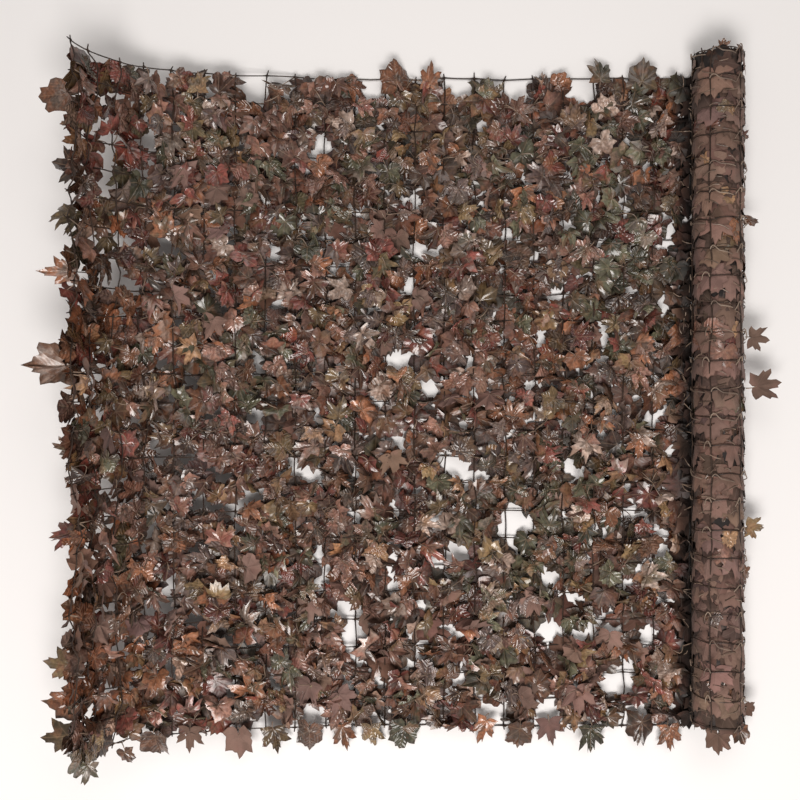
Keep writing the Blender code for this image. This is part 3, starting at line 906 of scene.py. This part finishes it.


# Leaves given one by one: foot on the sheet, heading, length and print. Those of BACKS lie on the
# pile with their backs up, and the others show their fronts.
Leaf = namedtuple("Leaf", "s y heading length print", defaults=["pink_brown"])
BACKS = table(
    Leaf,
    (0.780, 0.350, -1.3, 0.039), (0.735, 0.125, -1.9, 0.034), (0.465, -0.082, -1.2, 0.032),
    (0.590, -0.305, -1.6, 0.036), (0.590, -0.430, -2.0, 0.038), (0.545, -0.446, -0.9, 0.033),
    (0.905, -0.040, -1.1, 0.042), (0.130, -0.355, -1.7, 0.034), (0.180, -0.440, -1.4, 0.037),
    (0.245, -0.300, -2.1, 0.032),
)
CORNER_FRONTS = table(
    Leaf,
    (0.958, -0.478, -1.95, 0.034, "brown"), (0.938, -0.482, -1.35, 0.036, "olive"),
    (0.916, -0.486, -1.15, 0.030, "brown"), (0.966, -0.462, -2.50, 0.034),
    (0.972, -0.488, -1.70, 0.030, "green"),
)
ROLL_FRONTS = table(
    Leaf,
    (-0.144, 0.415, -0.9, 0.020, "tan"), (-0.178, 0.343, -1.9, 0.020, "tan"),
    (-0.143, 0.288, -1.2, 0.019, "tan"), (-0.134, 0.094, -1.6, 0.018, "tan"),
    (-0.180, 0.088, -1.7, 0.040), (-0.150, 0.058, -1.3, 0.034),
    (-0.140, -0.214, -1.5, 0.020, "tan"), (-0.170, -0.331, -2.1, 0.022, "brown"),
)


def by_hand(leaves, kind, height, flip, tilt, press, rng, tints=None):
    """Placed leaves of one table. tilt: mean and spread of their pitch, spread of their bank."""
    s, y, heading, length = np.array([leaf[:4] for leaf in leaves]).T
    count = len(leaves)
    mean, pitch, bank = tilt
    return Placed(
        s, y, np.full(count, height), heading, rng.normal(mean, pitch, count),
        rng.normal(0, bank, count), np.full(count, flip), leaf_shapes(kind, length, rng, press),
        tints_of([leaf.print for leaf in leaves], rng) if tints is None else tints)


def lay_backs(rng):
    tints = tints_of([leaf.print for leaf in BACKS], rng)
    return by_hand(BACKS, MAPLE_FINE, 0.017, True, (-0.05, 0.15, 0.2), 0.8, rng, tints)


def lay_fronts(leaves, height, flip, rng):
    return by_hand(leaves, IVY_FINE, height, flip, (-0.03, 0.02, 0.04), 0.4, rng)


# Painted light and shade on the leaves: painted shade low in the pile and painted light high in
# it, by height in the pile, evened out where it is raised, and painted shade by s at the crease.
PILE_PAINTED_LIGHT = ((0.001, 0.008, 0.014, 0.021), (0.40, 0.82, 1.05, 1.24))
RAISED_PAINTED_LIGHT = 0.95
CREASE_PAINTED_SHADE = ((0.0, CREASE_END, 2 * CREASE_END), (0.05, 0.17, 1.0))
CREASE_ROOM = 0.003  # the pile is at least this high, even under the roll


def on_netting(kind, placed):
    """Leaves held between the cords and the top of the pile. Some hang through the raised end."""
    s, y, h = turned(placed)
    raised = raised_end(s)
    reach = np.clip(ROLL_X - START_X + s, 0, ROLL_RADIUS)
    under_roll = ROLL_RADIUS - np.sqrt(ROLL_RADIUS ** 2 - reach ** 2) - ROLL_ROOM
    high = np.where(reach < ROLL_RADIUS, np.clip(under_roll, CREASE_ROOM, LEAF_HIGH), LEAF_HIGH)
    h = between_limits(h, LEAF_LOW - HANGS_BELOW * raised, high)
    depth = np.interp(h, *PILE_PAINTED_LIGHT)
    depth = depth + (RAISED_PAINTED_LIGHT - depth) * raised
    # painted shade at the crease beside the roll
    return batch_on_sheet(kind, placed, s, y, h, depth * np.interp(s, *CREASE_PAINTED_SHADE))


def make_laid_leaves(materials):
    rng = default_rng(21)
    objects = []
    feet = []
    for storey in STOREYS:
        laid = lay_storey(storey, rng)
        if storey.name == "leaves_high":
            laid.append((MAPLE_FINE, lay_backs(rng)))
            laid.append((IVY_FINE, lay_fronts(CORNER_FRONTS, 0.008, False, rng)))
        batches = [on_netting(kind, placed) for kind, placed in laid]
        objects.append(make_leaves(storey.name, batches, materials, rng))
        if storey.fine:
            feet += [placed[:3] for _, placed in laid]
    return objects, feet


STEM_LENGTH = 0.024  # at most, and its arch adds to it
STEM_SWAY = 0.0035
STEM_RISE = (0.002, 0.013)  # least and greatest height of its arch
STEM_STOPS = np.linspace(0, 1, 6)
STEM_ARCH = np.sin(np.pi * STEM_STOPS)
STEM_RADII = np.linspace(0.0009, 0.0006, 6)


def stem_line(start, foot, bow):
    """World positions along a stem from its start to a leaf's foot, bowed out on the way."""
    start, foot, bow = (np.array(place)[:, None] for place in (start, foot, bow))
    return surface(*(start + (foot - start) * STEM_STOPS + STEM_ARCH * bow))


def make_stems(feet, material):
    """A thin curved stem from each leaf's foot towards the nearest node of the netting."""
    rng = default_rng(61)
    bundle = Bundle()
    for s, y, h in np.concatenate(feet, axis=1).T:
        number = int(np.clip(round((s - FIRST_CORD) / MESH_X), 0, LAID_CORDS - 1))
        row = int(np.clip(round((WIDTH / 2 - y) / MESH_Y), 0, ROWS))
        node_s, node_y = node_place(number, row)
        reach = math.hypot(node_s - s, node_y - y)
        pull = min(1.0, STEM_LENGTH / max(reach, 0.001))
        sway = rng.normal(0, STEM_SWAY, 2)
        start = (s + (node_s - s) * pull, y + (node_y - y) * pull, h * rng.uniform(0.1, 0.9))
        bow = (*sway, rng.uniform(*STEM_RISE))
        bundle.add(stem_line(start, (s, y, h + 0.0008), bow), STEM_RADII, 4)
    return bundle.make("leaf_stems", material)


# ------------ the roll

# The netting's back is outside here, so h is less the farther out a place is.
TURNS_START = -0.034
TURN_HALVES = (0.0006, -0.0006)  # from the middle of a turn to its two sides
TURN_HEIGHT = 0.0042
TURN_STEP = 0.006
TURN_EDGE = np.array([0, 0.006, 0.014, 0.03])  # its columns near the strip's edges
TURN_RAGGED = (-0.004, 0.007)  # how far the edges are in or out


def make_roll_turns(material):
    """The wound leaves and netting as one thin crumpled strip, round to the core."""
    rng = default_rng(31)
    s = np.arange(TURNS_START, S_CORE, -TURN_STEP)
    y = np.concatenate([-0.5 + TURN_EDGE, np.linspace(-0.45, 0.45, 31), (0.5 - TURN_EDGE)[::-1]])
    s_all, y_all = np.meshgrid(s, y, indexing="ij")
    y_all[:, 0] -= rng.uniform(*TURN_RAGGED, len(s))
    y_all[:, -1] += rng.uniform(*TURN_RAGGED, len(s))
    h = TURN_HEIGHT + rng.normal(0, 0.0007, s_all.shape)
    sides = [surface(s_all, y_all, h + half).reshape(-1, 3) for half in TURN_HALVES]
    size = s_all.size
    grid = np.arange(size).reshape(s_all.shape)
    first = grid[:-1, :-1].ravel()
    below = grid[1:, :-1].ravel()
    quads = np.stack([first, first + 1, below + 1, below], -1)
    loop = np.concatenate([grid[0], grid[1:, -1], grid[-1, -2::-1], grid[-2:0:-1, 0]])
    after = np.roll(loop, -1)
    rim = np.stack([loop, loop + size, after + size, after], -1)
    faces = np.concatenate([quads[:, ::-1], quads + size, rim[:, ::-1]])
    return make_object("roll_turns", np.concatenate(sides), faces, [material], SMOOTH_ANGLE)


ROLL_COLUMN = 0.72  # between the roll's columns of leaves, in meshes
ROLL_MAPLE = 0.35  # share of its leaves
ROLL_MAPLE_GROWTH = 1.15
ROLL_LENGTHS = (0.030, 0.037)
ROLL_LEAF_LOW = -0.0022
ROLL_LEAF_HIGH = 0.0052
# Painted light and shade on the roll's leaves by h: painted light outside, painted shade farther
# in.
ROLL_PAINTED_LIGHT = ((-0.002, 0.0020, ROLL_LEAF_HIGH), (1.15, 0.95, 0.60))
OVER_HEIGHTS = (0.0010, 0.0020)  # of the feet of the leaves outside
UNDER_HEIGHT = 0.0036  # and of those under them
ROLL_PAST_LOW = -WIDTH / 2 - 0.022  # how far y of the roll's leaves may go
ROLL_PAST_HIGH = WIDTH / 2 + 0.016
ROLL_LEAVES_END = -0.012  # and s


def on_roll(kind, placed):
    s, y, h = turned(placed)
    h = between_limits(h, ROLL_LEAF_LOW, ROLL_LEAF_HIGH)
    return batch_on_sheet(kind, placed, s, y, h, np.interp(h, *ROLL_PAINTED_LIGHT))


def make_roll_leaves(materials):
    """The outer turn's leaves with their backs out, tips hanging over the next ones down."""
    rng = default_rng(41)
    batches = []
    feet = []
    for kind, longer, column, row in places_by_kind(
            range(-8, 0), range(-1, 2 * ROWS + 2), ROLL_MAPLE, ROLL_MAPLE_GROWTH, FINE, rng):
        count = len(column)
        under = row % 2
        s = cord_s((column + 0.5 * under + rng.uniform(0.25, 0.75, count)) * ROLL_COLUMN)
        y = cord_y(row / 2 - 0.06) + rng.normal(0, 0.0025, count)
        length = rng.uniform(*ROLL_LENGTHS, count) * longer
        heading = DOWN + rng.normal(0, 0.20 + 0.5 * under, count)
        flip = rng.uniform(size=count) < BACK_OUT + 0.16 * under
        # painted shade: the under leaves that show their fronts are half as light
        bright = rng.uniform(0.90, 1.22, count) * np.where(under & ~flip, 0.50, 1.0)
        placed = Placed(
            s, y, np.where(under, UNDER_HEIGHT, rng.uniform(*OVER_HEIGHTS, count)), heading,
            rng.normal(-0.045, 0.03, count), rng.normal(0, 0.05, count), flip,
            leaf_shapes(kind, length, rng, 0.35), pick_tints(s, y, rng) * bright[:, None, None])
        s, y, _ = turned(placed)
        good = (y.min(1) > ROLL_PAST_LOW) & (y.max(1) < ROLL_PAST_HIGH)
        placed = take(placed, good & (s.max(1) < ROLL_LEAVES_END))
        batches.append(on_roll(kind, placed))
        feet.append(placed[:2])
    batches.append(on_roll(IVY_FINE, lay_fronts(ROLL_FRONTS, 0.0006, True, rng)))
    return make_leaves("leaves_rolled", batches, materials, rng), feet


LOOPS_END = -0.028  # s up to which the roll has loops
NO_LOOP = 0.12  # share of its nodes without one
TAILS = 0.45  # share of the loops that are drawn out into tails
LOOP_SIZES = ((0.008, 0.014), (0.007, 0.011))  # least and greatest width, and height
TAIL_SIZES = ((0.026, 0.040), (0.004, 0.008))
LOOP_STOPS = np.linspace(0, 1, 11)
LOOP_RADII = np.linspace(0.0009, 0.0007, 11)


def make_roll_loops(material):
    """Stems that arch out over the cords of the roll and down into the leaves."""
    rng = default_rng(43)
    bundle = Bundle()
    t = LOOP_STOPS
    h = -0.0038 + 0.0030 * np.maximum(t - 0.80, 0) / 0.20 + 0.0016 * (1 - t) ** 6
    for number in range(-6, -1):
        for row in range(ROWS + 1):
            node_s, node_y = node_place(number, row)
            if node_s > LOOPS_END or rng.uniform() < NO_LOOP:
                continue
            tail = rng.uniform() < TAILS
            wide, tall = (rng.uniform(*sizes) for sizes in (TAIL_SIZES if tail else LOOP_SIZES))
            arch = np.sin(np.pi * np.minimum(t * (2.2 if tail else 1.0), 1))
            s = node_s + (1 if tail else -1) * wide * t ** 1.3
            y = node_y - 0.001 + tall * arch - rng.uniform(0.003, 0.008) * t ** 1.5
            bundle.add(surface(s, y, h), LOOP_RADII, 5)
    return bundle.make("roll_stem_loops", material)


ROLL_STEM_HEIGHT = -0.0014
ROLL_STEM_REACH = (0.008, 0.022)


def make_roll_stems(feet, material):
    """Thin stems over the backs, from the cords to the leaves' feet."""
    rng = default_rng(62)
    bundle = Bundle()
    for s, y in np.concatenate(feet, axis=1).T:
        reach = rng.uniform(*ROLL_STEM_REACH)
        foot = (s, y, ROLL_STEM_HEIGHT)
        start = (s + rng.choice((-1, 1)) * reach, y + rng.uniform(0.001, 0.008), foot[2])
        bow = (0, rng.uniform(-0.001, 0.003), rng.uniform(-0.0016, 0.0012))
        bundle.add(stem_line(start, foot, bow), np.full(len(STEM_STOPS), 0.0007), 4)
    return bundle.make("roll_leaf_stems", material)


# ------------ leaves past the outline

# The outline's leaves by side: which way they point, how long they are at least, how far their
# stems reach back from the CAD model's short ones, and their prints. A taupe one shows its back.
SIDES = table(
    namedtuple("Side", "name outward shortest back prints"),
    ("left", (-1, 0, 0), 0.0, 0.006,
     "rust red brown olive rust brown brown red olive rust olive"),
    ("corner", (0, -1, 0), 0.0, 0.010, "green brown"),
    ("top", (0, 1, 0), 0.038, 0.0, "olive rust rust green olive"),
    ("bottom", (0, -1, 0), 0.040, 0.0,
     "brown taupe taupe olive brown rust olive green rust brown taupe green brown rust"),
    ("roll", (1, 0, 0), 0.0, 0.0,
     "red rust taupe taupe olive brown taupe rust taupe rust"),
)
ALONG_ROLL = {"leaf_roll_08": (0, -1, 0), "leaf_roll_09": (0, -1, 0), "leaf_roll_10": (0, 1, 0)}
BLADE_FOOT = 0.27  # of the CAD leaf's length, up to here is stem
FOOT_BAND = 0.0025  # the CAD leaf's vertices this near its foot belong to it
TIP_BAND = 0.0008
LONG_LEAF_LIFT = 0.008  # of the foot of a leaf that is longer than its CAD leaf
PAST_STOPS = np.linspace(0, 1, 7)[:, None]
PAST_RADII = np.linspace(0.0009, 0.0006, 7)


def leaf_axes(node, outward):
    """Foot, length, width and axes of a CAD leaf, read from its mesh."""
    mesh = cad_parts[node].data
    points = np.empty(len(mesh.vertices) * 3)
    mesh.vertices.foreach_get("co", points)
    points = points.reshape(-1, 3)
    far = points @ np.array(outward, dtype=float)
    foot = points[far < far.min() + FOOT_BAND].mean(0)
    tip = points[far > far.max() - TIP_BAND].mean(0)
    length = np.linalg.norm(tip - foot)
    along = (tip - foot) / length
    off = points - foot
    off = off - (off @ along)[:, None] * along
    first = off[np.linalg.norm(off, axis=1).argmax()]
    other = off[(off @ first).argmin()]
    across = first - other
    width = np.linalg.norm(across)
    across /= width
    normal = np.cross(across, along)
    out = -1 if normal @ (first + other) < 0 else 1
    return foot, length, width, along, across * out, normal * out


def make_edge_leaves(side, materials, stem_bundle, rng):
    """A full leaf for each of the CAD model's leaves on one side, with its tip where that is."""
    nodes = sorted(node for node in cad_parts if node.startswith("leaf_" + side.name + "_"))
    batches = []
    for node, colour in zip(nodes, side.prints.split()):
        outward = ALONG_ROLL.get(node, side.outward)
        foot, length, width, along, across, normal = leaf_axes(node, outward)
        tip = foot + along * length
        blade = max((1 - BLADE_FOOT) * length, side.shortest)
        kind = MAPLE_FINE if rng.uniform() < 0.6 else IVY_FINE
        shape = leaf_shapes(kind, [blade], rng, 0.75)
        half = np.abs(shape[..., 0]).max()
        shape[..., 0] *= np.clip(width / 2 / half, 0.75, 1.25)
        base = tip - along * blade
        if side.shortest:
            base = base + normal * LONG_LEAF_LIFT
            along = (tip - base) / np.linalg.norm(tip - base)
            tilted = np.cross(across, along)
            normal = tilted * np.sign(tilted @ normal)
            start = base - along * 0.012 - normal * 0.004
        else:
            start = foot - along * side.back
        shows_back = colour == "taupe"
        up = -normal if shows_back else normal
        axes = (np.cross(along, up), along, up)
        middle = base + sum(shape[..., k, None] * axis for k, axis in enumerate(axes))
        half_thick = kind.half_thick[:, None] * up
        verts = np.concatenate([middle + half_thick, (middle - half_thick)[:, :kind.inner]], 1)
        tints = tints_of(["brown" if shows_back else colour], rng)
        batches.append(Batch(kind, shape, verts, tints, np.ones(shape.shape[:2])))
        arch = normal * 0.002 + across * rng.normal(0, 0.002)
        line = start + (base - start) * PAST_STOPS + np.sin(np.pi * PAST_STOPS) * arch
        stem_bundle.add(line, PAST_RADII, 5)
    obj = make_leaves("leaves_past_" + side.name, batches, materials, rng)
    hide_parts(*nodes)
    return obj


# ------------ studio

CAMERA_PLACE = (-0.0145, 0.0035, 1.4)
HALF_VIEW = 0.62  # half of the width that it sees on the floor
FLOOR_REACH = 6.0
LAMP = (1.0, 0.955, 0.92)  # the tint of all the light


def add_camera():
    data = bpy.data.cameras.new("camera")
    data.angle = 2 * math.atan(HALF_VIEW / CAMERA_PLACE[2])
    bpy.context.scene.camera = add_to_scene("camera", data, CAMERA_PLACE)


def add_area_light(name, place, target, size, power):
    data = bpy.data.lights.new(name, "AREA")
    data.color = LAMP
    data.shape = "RECTANGLE"
    data.size, data.size_y = size
    data.energy = power
    way = Vector(target) - Vector(place)
    add_to_scene(name, data, place).rotation_euler = way.to_track_quat("-Z", "Y").to_euler()


def add_studio():
    mesh = bpy.data.meshes.new("studio_floor")
    reach = FLOOR_REACH
    corners = [(-reach, -reach, 0), (reach, -reach, 0), (reach, reach, 0), (-reach, reach, 0)]
    mesh.from_pydata(corners, [], [(0, 1, 2, 3)])
    mesh.materials.append(
        Look("studio_floor").shader({"Base Color": FLOOR_WHITE, "Roughness": 0.9}))
    add_to_scene("studio_floor", mesh)
    world = bpy.data.worlds.new("studio")
    world.use_nodes = True
    sky = world.node_tree.nodes["Background"]
    sky.inputs["Color"].default_value = (*LAMP, 1)
    sky.inputs["Strength"].default_value = 0.28
    bpy.context.scene.world = world
    bpy.context.scene.view_settings.view_transform = "Standard"
    add_area_light("key", (-0.1, -1.35, 2.3), (0, -0.2, 0), (1.6, 0.85), 60)
    add_area_light("fill", (0.3, 1.8, 2.2), (0, 0, 0), (2.4, 1.4), 18)


# ------------ the whole

def build():
    add_camera()
    faces = [leaf_front_material(), leaf_back_material()]
    net_plastic = plastic_material(
        "net_plastic", (0.024, 0.014, 0.010), (0.052, 0.032, 0.023), 0.50)
    stem_plastic = plastic_material(
        "stem_plastic", (0.070, 0.046, 0.034), (0.30, 0.215, 0.160), 0.40)
    loop_plastic = plastic_material("loop_plastic", (0.16, 0.115, 0.09), (0.34, 0.26, 0.20), 0.5)

    net_laid, net_wound = make_netting(net_plastic)
    storeys, feet = make_laid_leaves(faces)
    stems = make_stems(feet, stem_plastic)
    turns = make_roll_turns(roll_turn_material())
    rolled, rolled_feet = make_roll_leaves(faces)
    loops = make_roll_loops(loop_plastic)
    rolled_stems = make_roll_stems(rolled_feet, stem_plastic)
    edge_stems = Bundle()
    rng = default_rng(51)
    past = [make_edge_leaves(side, faces, edge_stems, rng) for side in SIDES]
    past_stems = edge_stems.make("leaves_past_stems", stem_plastic)

    plastic = (net_laid, net_wound, stems, loops, rolled_stems, past_stems)
    for slot, pieces in (("net_plastic", plastic), ("leaf_print", (*storeys, *past)),
                         ("leaf_back", (turns, rolled))):
        for piece in pieces:
            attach(piece, "root")
    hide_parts("netting")
    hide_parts("leaf_cover")
    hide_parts("roll")
    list(storeys[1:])
    add_studio()


build()
